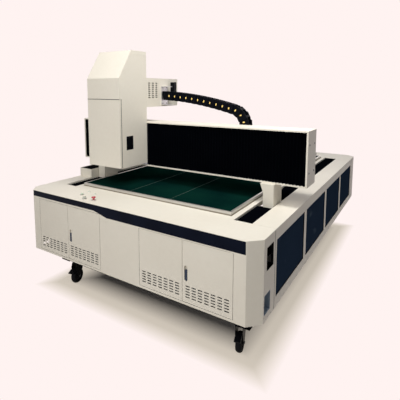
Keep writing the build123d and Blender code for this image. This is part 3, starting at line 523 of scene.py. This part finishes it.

# %% [markdown]
# Two buttons are in a glossy coloured plastic, and the panes in the sides are dark tinted glass. The
# glass is a real dark sheet: a little of the inside shows through. It takes no mirror light, and lighter
# streaks of painted reflection lie on its face instead, made as a sine of cloudy noise.

# %% Gloss plastics and dark glass


def gloss(name, light, dark):
    """Polished plastic under a thin clear coat."""
    look = Look(name, Coat_Weight=0.5, Coat_Roughness=0.06)
    look.feed("Base Color", look.blend(look.noise(40.0, 2.0), dark, light))
    look.feed("Roughness", look.noise(60.0, 2.0) * 0.1 + 0.22)
    return look.material


button_red = gloss("button_red", shade(184, 36, 54), shade(160, 26, 44))
button_green = gloss("button_green", shade(196, 214, 192), shade(176, 198, 174))

glass = Look("dark_glass", Specular_IOR_Level=0.0)
swirl = glass.noise(3.0, 5.0, (1.0, 0.7, 1.5))
painted_reflection_streaks = (swirl * 9.0).math("SINE").step(-0.2, 1.0) * glass.noise(1.7, 2.0).step(0.45, 0.7)
# Painted reflection: the lighter streaks in the colour stand for the room mirrored in the panes
glass.feed("Base Color", glass.blend(painted_reflection_streaks, shade(47, 62, 84), shade(120, 136, 150)))
glass.feed("Roughness", painted_reflection_streaks * 0.12 + 0.05)
glass.feed("Alpha", 1 - glass.noise(2.0, 2.0) * 0.05)
dark_glass = glass.material
print("gloss and glass")

# %% [markdown]
# Each solid keeps its shape and gets one of these finishes. The list is by finish, as a painter would
# sort the parts on a trolley.

# %% Finishes on the solids
corners = ("front_left", "front_right", "rear_left", "rear_right")
trolley = {
    shell_coat_shade_inside: ["front_fascia", "corner_panels", "rear_fascia", "side_frames"],
    white_coat: ["front_cover", "rear_cover", "side_cover_left", "side_cover_right",
                 "door_left_outer", "door_left_inner",
                 "door_right_inner", "door_right_outer", "column_left", "column_right", "beam",
                 "beam_ends", "tower_shell", "tower_door", "rear_box"],
    grey_coat: ["drive_cabinet", "laser_supply"],
    bed_coat: ["base_frame"],
    recess_coat: ["service_recess"],
    handle_coat: ["handle_left", "handle_right"],
    band_gloss: ["front_band"],
    green_board: ["table_panels"],
    rail_steel: ["y_guides"],
    x_rail_steel: ["x_guides"],
    alloy: ["table_trim", "control_collars", "chain_tray"],
    laser_alloy: ["x_carriage", "laser_module"],
    zinc_plate: ["chain_bracket", "hinge_pins"],
    castor_black: ["castor_plates"] + ["castor_fork_" + c for c in corners],
    tyre_rubber: ["castor_wheel_" + c for c in corners],
    pedal_plastic: ["castor_pedal_" + c for c in corners],
    chain_nylon: ["chain_bend"],
    black_plastic: ["tower_window", "cable_gland"],
    button_red: ["estop_button"],
    button_green: ["start_button"],
    knob_plastic: ["mode_knob"],
    dark_glass: ["side_windows"],
}
for finish, names in trolley.items():
    for name in names:
        data = nodes[name].data
        data.materials.clear()
        data.materials.append(finish)
print(sum(len(v) for v in trolley.values()), "solids finished")

# %% [markdown]
# The pleated covers keep dust off the beam's rails. Each is one long cloth folded like a fan, stiffened
# at the folds, so it is a wave in plan. The right cover is pulled out and its folds are wide, and the
# left one is packed. The fold's tip is rounded here, which a plain zigzag lacks.

# %% Pleated covers
cloth_thickness, fold_sharpness, points_per_fold = 0.0012, 0.94, 8


def fold_wave(count):
    """Shares of the length and of the depth over so many folds: the depth is the arcsine of a damped sine."""
    t = np.linspace(0, count, count * points_per_fold + 1)
    wave = np.arcsin(fold_sharpness * np.sin(2 * pi * t - pi / 2)) / np.arcsin(fold_sharpness)
    return t / count, (1 - wave) / 2


def pleats(name, low, high, count=56):
    """A folded cloth: depth is the fold's wave of the distance along X, with a thin second side."""
    share, depth = fold_wave(count)
    x = low[0] + (high[0] - low[0]) * share
    front_y, back_y = low[1] + 0.0004, high[1] - 0.0014
    y = front_y + (back_y - front_y) * depth
    z = np.linspace(low[2], high[2], 3)
    shape = (len(x), len(z))
    near = np.stack([np.broadcast_to(x[:, None], shape), np.broadcast_to(y[:, None], shape),
                     np.broadcast_to(z, shape)], -1)
    far = near + np.array([0, cloth_thickness, 0])
    rim = np.concatenate([near, far[:, ::-1]], 1)
    return join_patches(name, [(rim, False, True)], pleat_cloth, 60)


left_low, left_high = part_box("bellows_left")
right_low, right_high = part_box("bellows_right")
left_pleats = pleats("left_pleats", left_low, left_high)
right_pleats = pleats("right_pleats", right_low, right_high)
for cover, node in ((left_pleats, "bellows_left"), (right_pleats, "bellows_right")):
    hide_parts(node)
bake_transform(left_pleats)
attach(right_pleats, "gantry")
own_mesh(right_pleats)
print("pleats", len(left_pleats.data.polygons), len(right_pleats.data.polygons), "faces")

# %% [markdown]
# A strip of the same cloth closes each slot below its rim, in front of the column and behind it, so that
# no dust falls on the guides. It lies flat, so its folds go up and down, and it is pushed together and
# pulled out as the gantry travels.

# %% Covers in the slots
slot_x, slot_y = (0.7665, 0.8905), (-1.3205, 1.2385)
column_face = (-0.9355, -0.7615)
strip_top, strip_fold = 0.890, 0.011


def strip(name, side, y0, y1, count):
    """A folded strip along Y: height falls by the fold's wave of the distance."""
    share, drop = fold_wave(count)
    y = y0 + (y1 - y0) * share
    z = strip_top - strip_fold * drop
    shape = (len(y), 2)
    upper = np.stack([np.broadcast_to(sorted(side * x for x in slot_x), shape),
                      np.broadcast_to(y[:, None], shape), np.broadcast_to(z[:, None], shape)], -1)
    lower = upper[:, ::-1] - np.array([0, 0, cloth_thickness])
    return join_patches(name, [(np.concatenate([upper, lower], 1), False, True)], pleat_cloth, 60)


for side, word in ((-1, "left"), (1, "right")):
    fore = strip("slot_cover_front_" + word, side, slot_y[0], column_face[0], 16)
    aft = strip("slot_cover_rear_" + word, side, column_face[1], slot_y[1], 72)
    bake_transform(fore)
    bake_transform(aft)
print("four slot covers")

# %% [markdown]
# The cable chain is the machine's most repeated part: twenty-six links hang from the head, turn over in
# a tight bend and lie down on a tray. Its path is a list of slopes, one to a link, and adding up equal
# steps along them gives the places of the pins.

# %% The chain's path
pitch, chain_front = 0.062, -0.686
start_x, start_z = -0.277, 1.684
upper_links, bend_links, lower_links = 12, 7, 7


def chain_places():
    """Each link's pin and slope: slopes change evenly along the arc, then in equal steps round the bend."""
    upper = np.radians(np.linspace(-3, -15, upper_links))
    bend = np.radians(-15 + np.arange(1, bend_links + 1) * (-165 / bend_links))
    slope = np.concatenate([upper, bend, np.full(lower_links, -pi)])
    steps = pitch * np.column_stack([np.cos(slope), np.sin(slope)])
    pins = np.array([start_x, start_z]) + np.concatenate([[[0, 0]], np.cumsum(steps, 0)])
    return pins, slope


pins, slope = chain_places()
bend_start, bend_end = upper_links, upper_links + bend_links
print("chain ends at", pins[-1].round(3))

# %% [markdown]
# A link is two cranked side plates with tongues and two bars, snapped to its neighbour on yellow plugs. It
# is worked out once, and every place on the path turns and moves a copy. Where the upper run meets the
# bend, the plates are cut shorter, because the run is pushed together as the head travels.

# %% One link
half = 0.040
plate_outline = [(-0.0155, 0), (-0.0150, half - 0.006), (-0.0135, half - 0.002), (-0.0105, half),
                 (0.042, half), (0.044, half - 0.002), (0.044, -half + 0.002), (0.042, -half),
                 (0.004, -half), (0.001, -half + 0.003)]
tip_arc = [(0.061 + 0.0155 * cos(a), 0.012 + 0.0265 * sin(a)) for a in np.radians((-25, 0, 25, 50, 75))]
tongue_outline = ([(0.018, -half + 0.001), (0.061, -half + 0.001), (0.072, -0.014)] + tip_arc
                  + [(0.060, half - 0.001), (0.018, half - 0.001)])


def upright(grid, shift):
    """A slab stood on edge: its thickness runs along Y from shift."""
    return np.stack([grid[..., 0], grid[..., 2] + shift, grid[..., 1]], -1)


def link_grids(plate, bevel=0.0008):
    """One link with that outer plate: two plates, two tongues, two bars with clips, and two ribs."""
    parts = []
    for y, outline in ((0.0, plate), (0.073, plate), (0.0072, tongue_outline), (0.0660, tongue_outline)):
        parts.append(upright(slab(outline, 0, 0.0068, bevel), y))
    for z in (-half + 0.003, half - 0.003):
        parts.append(brick((0.019, 0.004, z - 0.003), (0.035, 0.076, z + 0.003), bevel))
        for y in (0.020, 0.054):
            parts.append(brick((0.022, y, z - 0.0036), (0.032, y + 0.006, z + 0.0036), bevel))
    rib = [(0.016, -0.030), (0.036, -0.030), (0.036, 0.030), (0.016, 0.030)]
    for y in (-0.0008, 0.0796):
        parts.append(upright(slab(rib, 0, 0.0012, 0.0005), y))
    return parts


link_parts = link_grids(plate_outline)
last_upper = link_grids([(min(x, 0.036), z) for x, z in plate_outline])
first_bend = link_grids([(max(x, -0.003), z) for x, z in plate_outline])
cap = turned([(0, 0), (0.0058, 0), (0.0058, 0.0006), (0.0050, 0.0014), (0.0026, 0.0019), (0, 0.0020)], 14)
caps = [np.stack([cap[..., 0], y + side * cap[..., 2], 1.75 * cap[..., 1]], -1)
        for y, side in ((-0.0001, -1), (0.0801, 1))]
print(len(link_parts), "parts in a link")


def set_links(parts, first, last):
    """Copies of the link's grids at each place: x cos a minus z sin a, and x sin a plus z cos a."""
    patches = []
    for part in parts:
        for (x0, z0), a in zip(pins[first:last], slope[first:last]):
            x, y, z = part[..., 0], part[..., 1] + chain_front, part[..., 2]
            patches.append((np.stack([x0 + x * cos(a) - z * sin(a), y, z0 + x * sin(a) + z * cos(a)], -1),
                            False, True))
    return patches


# %% [markdown]
# The chain is three pieces by how it moves. The upper run hangs on the head and is pushed together
# towards it, the bend rides at half the head's speed, and the lower run is laid down behind the bend.

# %% Chain runs
upper_grids = set_links(link_parts, 0, bend_start - 1) + set_links(last_upper, bend_start - 1, bend_start)
loop_grids = set_links(first_bend, bend_start, bend_start + 1)
loop_grids += set_links(link_parts, bend_start + 1, bend_end)
runs = {
    "links": (upper_grids, loop_grids, set_links(link_parts, bend_end, len(slope))),
    "plugs": (set_links(caps, 1, bend_start), set_links(caps, bend_start, bend_end),
              set_links(caps, bend_end, len(slope))),
}
for name, finish in (("links", chain_nylon), ("plugs", plug_yellow)):
    upper, loop, lower = [join_patches(run + name, patches, finish)
                          for run, patches in zip(("upper_", "bend_", "lower_"), runs[name])]
    if name == "links":
        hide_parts("chain_upper")
        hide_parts("chain_bend")
        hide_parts("chain_lower")
    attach(upper, "head")
    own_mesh(upper)
    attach(loop, "chain_loop")
    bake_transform(lower)

# %% [markdown]
# Screws are where steel parts meet. A socket screw is a turned head with a sunk middle, and a lens head
# is a shallow dome. A hundred of them are copies of the same few dozen faces.

# %% Screws
hole = turned([(0, 0.0016), (0.0019, 0.0016), (0.0019, 0.0038), (0.0033, 0.0038), (0.0040, 0.0030),
               (0.0040, 0)], 12)
lens_head = turned([(0, 0.0022), (0.0022, 0.0020), (0.0044, 0.0012), (0.0052, 0.0004), (0.0052, 0)], 12)
up, down, right, left = (0, 0, 1), (0, 0, -1), (1, 0, 0), (-1, 0, 0)


def screws(name, head, sets, body, scale=1.0):
    """Screw heads from lists of (direction, places), as one mesh on one body."""
    patches = []
    for direction, places in sets:
        patches += put(head * scale, facing(direction, (0, 1, 0) if abs(direction[2]) > 0.5 else up), places)
    piece = join_patches(name, patches, screw_steel)
    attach(piece, body)


rail_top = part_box("y_guides")[1][2] - 0.0008
rail_rows = [(side * 0.801, y, rail_top) for side in (-1, 1) for y in np.arange(-1.34, 1.35, 0.08)]
screws("rail_screws", hole, [(up, rail_rows)], "base", 1.3)
end_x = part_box("beam_ends")[1][0]
end_rows = [(y, z) for y in (-0.862, -0.734) for z in (1.158, 1.356)]
screws("end_screws", lens_head, [
    (right, [(end_x - 0.0002, y, z) for y, z in end_rows]),
    (left, [(-end_x + 0.0002, y, z) for y, z in end_rows])], "gantry", 1.4)
foot_z = 0.9022
upstand_rows = [(-1.034, y, foot_z) for y in np.arange(-0.99, 1.09, 0.26)]
screws("upstand_screws", lens_head, [(up, upstand_rows)], "base")
castor_x, castor_y, plate_z, plate_hole = 0.81, 1.277, 0.2138, 0.042
plate_rows = [(x + i * plate_hole, y + j * plate_hole, plate_z) for x in (-castor_x, castor_x)
              for y in (-castor_y, castor_y) for i in (-1, 1) for j in (-1, 1)]
screws("castor_screws", hole, [(down, plate_rows)], "base", 1.8)
bracket_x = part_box("chain_bracket")[0][0] + 0.004
bracket_rows = [(bracket_x, y, z) for y in (-0.675, -0.617) for z in (1.612, 1.756)]
screws("bracket_screws", hole, [(right, bracket_rows)], "head")
print(len(rail_rows) + len(plate_rows) + len(end_rows) * 2 + len(upstand_rows) + len(bracket_rows), "screws")

# %% [markdown]
# Rubber closes the joints that dust would find: a lip round the foot of the work table, and a bead along
# the head's door and the cabinet's corners. Their colours are painted shade as well: the lip's grey-beige
# stands for the shadow under the table's trim, and the black beads for the shade in the seams, which are
# the thin dark lines there. A profile is carried round a rectangle for the lip. Two thin grey strips fill
# the joints between the table's boards.

# %% Rubber lips and beads


def lip_round(low, high, profile):
    """A closed lip: at each corner of the rectangle, every (outset, height) point of the profile."""
    outset, z = np.array(profile, float).T
    corner_signs = ((low[0], low[1], -1, -1), (high[0], low[1], 1, -1), (high[0], high[1], 1, 1),
                    (low[0], high[1], -1, 1))
    return np.stack([np.stack([x + sx * outset, y + sy * outset, z], -1) for x, y, sx, sy in corner_signs])


def bars(name, boxes, bevel, material, body):
    """Bevelled bars between pairs of corners, as one mesh on one body."""
    piece = join_patches(name, [(brick(low, high, bevel), False, True) for low, high in boxes], material)
    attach(piece, body)


# The lip's grey-beige is painted shadow: it stands for the shade under the trim
lip = [(0, 0.9003), (0.0034, 0.9003), (0.0040, 0.9030), (0.0032, 0.9075), (0, 0.9088)]
table_lip_painted_shadow = join_patches("table_lip_painted_shadow", [(lip_round(*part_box("table_trim"), lip), True, True)], lip_painted_shadow)
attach(table_lip_painted_shadow, "base")

door_low, door_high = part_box("tower_door")
bead_width, bead_rise, bead_gap = 0.004, 0.0008, 0.0006
seam_y, seam_z = door_high[1] + bead_gap, door_high[2] + bead_gap
beads = [((x - bead_rise, seam_y, door_low[2]), (x + bead_rise, seam_y + bead_width, seam_z + bead_width))
         for x in (door_low[0], door_high[0])]
beads.append(((door_low[0], door_low[1] - bead_rise, seam_z),
              (door_high[0], door_low[1] + 0.0010, seam_z + bead_width)))
# Black beads in the door's seams: painted shade in the gaps
bars("door_bead_painted_shade", beads, 0.0003, tyre_rubber, "head")

side_low, side_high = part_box("side_frames")
bottom, top = side_low[2] + 0.001, side_high[2] - 0.001
corner_beads = [((x - 0.0006, y - 0.0016, bottom), (x + 0.0006, y + 0.0016, top))
                for x in (side_low[0], side_high[0]) for y in (side_low[1], side_high[1])]
# Black beads at the cabinet's corners: painted shade in the seams
bars("corner_bead_painted_shade", corner_beads, 0.0003, tyre_rubber, "base")

board_low, board_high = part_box("table_panels")
joint_x, joint_half = 0.200, 0.0014
joint_boxes = [((x - joint_half, board_low[1] + 0.001, board_high[2] - 0.001),
                (x + joint_half, board_high[1] - 0.001, board_high[2] + 0.0003)) for x in (-joint_x, joint_x)]
bars("joint_strip", joint_boxes, 0.0002, joint_filler, "base")
print("lip, beads and joint strips")

# %% [markdown]
# Along the left edge the cover carries a low tray for cables. A plate closes its front and a wall its inner
# side, and a black rubber mat lies in it and up its wall as painted shade, standing for the dark inside of
# the tray.

# %% Cable tray
tray_left, tray_right, tray_front, tray_rear = -1.0474, -0.8955, -1.0246, 1.098
tray_floor, tray_top, wall_sheet = 0.9003, 0.9790, 0.002
walls = [((tray_left, tray_front, tray_floor), (tray_right, tray_front + wall_sheet, tray_top)),
         ((tray_right - wall_sheet, tray_front + 0.0021, tray_floor), (tray_right, tray_rear, tray_top))]
# Black mats: painted shade on the tray's floor and outer wall
shade_mats = [((tray_left, tray_front + 0.003, 0.9064), (tray_left + 0.0018, tray_rear, tray_top - 0.001)),
        ((-1.0220, tray_front + 0.003, tray_floor), (tray_right - 0.003, tray_rear, tray_floor + 0.0025))]
bars("tray_wall", walls, 0.0005, white_coat, "base")
bars("tray_painted_shade", shade_mats, 0.0005, tyre_rubber, "base")
print("tray closed")

# %% [markdown]
# The operator's corner has an emergency stop, a start button, a knob and two lamps. The solids hold the
# first three. What is added is turned: the lamps' domed glasses and rings, and a ring on the stop's
# collar, with a thin line on the knob that shows which way it points.

# %% Lamps and rings at the operator's corner
cover_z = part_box("front_cover")[1][2]
lamp_glass = turned([(0, 0.0062), (0.0040, 0.0056), (0.0072, 0.0034), (0.0086, 0.0014), (0.0086, 0)], 20)
lamp_ring = turned([(0.0084, 0.0016), (0.0094, 0.0022), (0.0108, 0.0016), (0.0116, 0.0)], 20)
lamp_places = [(-0.532, -1.379, cover_z), (-0.435, -1.402, cover_z)]
indicator_glass = join_patches("indicator_glass", put(lamp_glass, np.eye(3), lamp_places), button_green)
indicator_ring = join_patches("indicator_ring", put(lamp_ring, np.eye(3), lamp_places), alloy)
collar_ring = turned([(0.0086, 0.0001), (0.0090, 0.0006), (0.0150, 0.0006), (0.0156, 0.0001)], 32)
stop_place = (-0.316, -1.524, cover_z + 0.0052)
stop_ring = join_patches("stop_ring", put(collar_ring, np.eye(3), [stop_place]), alloy)
knob_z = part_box("mode_knob")[1][2]
bars("knob_pointer", [((-0.4067, -1.533, knob_z), (-0.4053, -1.523, knob_z + 0.0004))], 0.0001, plug_yellow,
     "knob")
for piece, slot in ((indicator_glass, "green_plastic"), (indicator_ring, "collar_metal"),
                    (stop_ring, "collar_metal")):
    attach(piece, "base")
print("corner dressed")

# %% [markdown]
# A castor is a wheel in a pressed fork under a ball race. The race's rolled ring and the hub caps are
# turned, and the axle nuts are six-sided slabs.

# %% Castor fittings
nut = slab([(0.0095 * cos(a), 0.0095 * sin(a)) for a in np.radians(np.arange(30, 390, 60))], 0, 0.006, 0.0012)
race = turned([(0.0355, 0), (0.0385, 0.0015), (0.0395, 0.0050), (0.0385, 0.0085), (0.0355, 0.0100)], 28)
hub = turned([(0, 0.0018), (0.0100, 0.0018), (0.0130, 0.0012), (0.0140, 0)], 20)
axle_height, axle_trail, race_z = 0.066, 0.034, 0.1985
for corner, turn in zip(corners, (12, 12, 168, 192)):
    x = castor_x if "right" in corner else -castor_x
    y = -castor_y if "front" in corner else castor_y
    a = radians(turn)
    sideways, trail = np.array([cos(a), sin(a), 0]), np.array([sin(a), -cos(a), 0])
    axle = np.array([x, y, axle_height]) + axle_trail * trail
    nut_patches, hub_patches = [], []
    for side in (-1, 1):
        nut_patches += put(nut, facing(side * sideways), [axle + side * sideways * 0.0270])
        hub_patches += put(hub, facing(side * sideways), [axle + side * sideways * 0.0200])
    nuts = join_patches("axle_nuts_" + corner, nut_patches, screw_steel)
    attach(nuts, "fork_" + corner)
    hubs = join_patches("hub_caps_" + corner, hub_patches, castor_black)
    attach(hubs, "wheel_" + corner)
    ring = join_patches("race_ring_" + corner, put(race, np.eye(3), [(x, y, race_z)]), castor_black)
    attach(ring, "base")
print("castors dressed")

# %% [markdown]
# Inside the tower the laser hangs on two rails. Its lens barrel has a knurled focus ring, and the
# nozzle's tip is turned brass. They show under the tower and when the tower's door is open.

# %% Laser fittings
barrel_x, barrel_y = -0.483, -1.064
teeth = 48
angle = np.linspace(0, 2 * pi, teeth * 2, endpoint=False)
knurl_radius = 0.0446 + 0.0009 * (np.arange(teeth * 2) % 2)
knurl_rings = ((0.0420, 0), (knurl_radius, 0.001), (knurl_radius, 0.021), (0.0420, 0.022))
knurl = np.stack([np.stack([r * np.cos(angle), r * np.sin(angle), np.full_like(angle, z)], -1)
                  for r, z in knurl_rings])
focus_ring = join_patches("focus_ring", put(knurl, np.eye(3), [(barrel_x, barrel_y, 1.166)]), black_plastic)
tip = turned([(0.0045, 0), (0.0075, 0), (0.0085, 0.0010), (0.0120, 0.0075), (0.0132, 0.0080),
              (0.0132, 0.0100)], 24)
brass = Look("nozzle_brass", Metallic=1.0)
brass.feed("Base Color", brass.blend(brass.noise(90.0, 3.0), shade(176, 136, 70), shade(206, 168, 96)))
brass.feed("Roughness", brass.noise(200.0, 2.0) * 0.15 + 0.25)
nozzle_tip = join_patches("nozzle_tip", put(tip, np.eye(3), [(barrel_x, barrel_y, 1.0955)]), brass.material)
for piece in (focus_ring, nozzle_tip):
    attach(piece, "laser")
print("laser dressed")

# %% [markdown]
# Each pane sits in a black rubber gasket. The gasket is a small profile carried round a rectangle: four
# corners times the profile's points.

# %% Window gaskets
bay, bays, pane_half, pane_low, pane_high = 0.667, 4, 0.305, 0.456, 0.826
window_y = [(i + 0.5 - bays / 2) * bay for i in range(bays)]
inset = np.array([0.0, 0.004, 0.004, 0.0])
depth = np.array([1.0462, 1.0462, 1.0440, 1.0440])
gasket_patches = []
for side in (-1, 1):
    for y in window_y:
        y0, y1, z0, z1 = y - pane_half, y + pane_half, pane_low, pane_high
        inwards = ((y0, z0, 1, 1), (y1, z0, -1, 1), (y1, z1, -1, -1), (y0, z1, 1, -1))
        ring = np.stack([np.column_stack([side * depth, corner_y + sign_y * inset, corner_z + sign_z * inset])
                         for corner_y, corner_z, sign_y, sign_z in inwards])
        gasket_patches.append((ring, True, True))
gaskets = join_patches("window_gaskets", gasket_patches, tyre_rubber)
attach(gaskets, "base")
print(len(gasket_patches), "gaskets")

# %% [markdown]
# The floor is the same paper. Under the machine it is lit like any surface and takes the shadow. Inside the
# footprint's last 0.42 metres a glow takes over as a painted soft edge of that shadow, cream deeper in as a
# painted shadow tint, and plain paper colour at the footprint's edge and round it.

# %% Floor
size = 14.0
floor_grid = np.array([[(-size, -size, 0), (-size, size, 0)], [(size, -size, 0), (size, size, 0)]], float)
paper_look = Look("paper", Specular_IOR_Level=0.0)
paper_look.feed("Base Color", (0.5, 0.46, 0.43, 1.0))
paper_look.feed("Roughness", 0.9)
glow = paper_look.tree.nodes.new("ShaderNodeEmission")

# How far a place lies past the machine's footprint, in metres: below zero, it is under the machine
reach = [paper_look.axis(index).math("ABSOLUTE") - half_side for index, half_side in ((0, 1.1), (1, 1.55))]
outside = reach[0].math("MAXIMUM", reach[1])
# Glow share rising towards the footprint's edge: painted soft edge of the shadow
shadow_edge_share = outside.step(-0.15, 0.0)
painted_shadow_share = outside.step(-0.42, -0.2) * 0.54 + shadow_edge_share * 0.46
# Cream glow under the machine's edge: painted shadow tint
shadow_cream_tint = shade(255, 243, 226)
paper_look.join(glow.inputs[0], paper_look.blend(shadow_edge_share, shadow_cream_tint, paper))
light_path = paper_look.tree.nodes.new("ShaderNodeLightPath")
backdrop = Value(paper_look, backdrop_rays(paper_look.tree, light_path))
mixer = paper_look.tree.nodes.new("ShaderNodeMixShader")
paper_look.join(mixer.inputs[0], painted_shadow_share * backdrop)
paper_look.tree.links.new(paper_look.shader.outputs[0], mixer.inputs[1])
paper_look.tree.links.new(glow.outputs[0], mixer.inputs[2])
paper_look.tree.links.new(mixer.outputs[0], paper_look.output.inputs["Surface"])
floor = join_patches("paper_floor", [(floor_grid, False, False)], paper_look.material)
print("floor laid")

# %% [markdown]
# The solids take their size from the object. The last line sets the Standard view transform, so that the
# colours show as they are given.

# %% View transform
bpy.context.scene.view_settings.view_transform = "Standard"
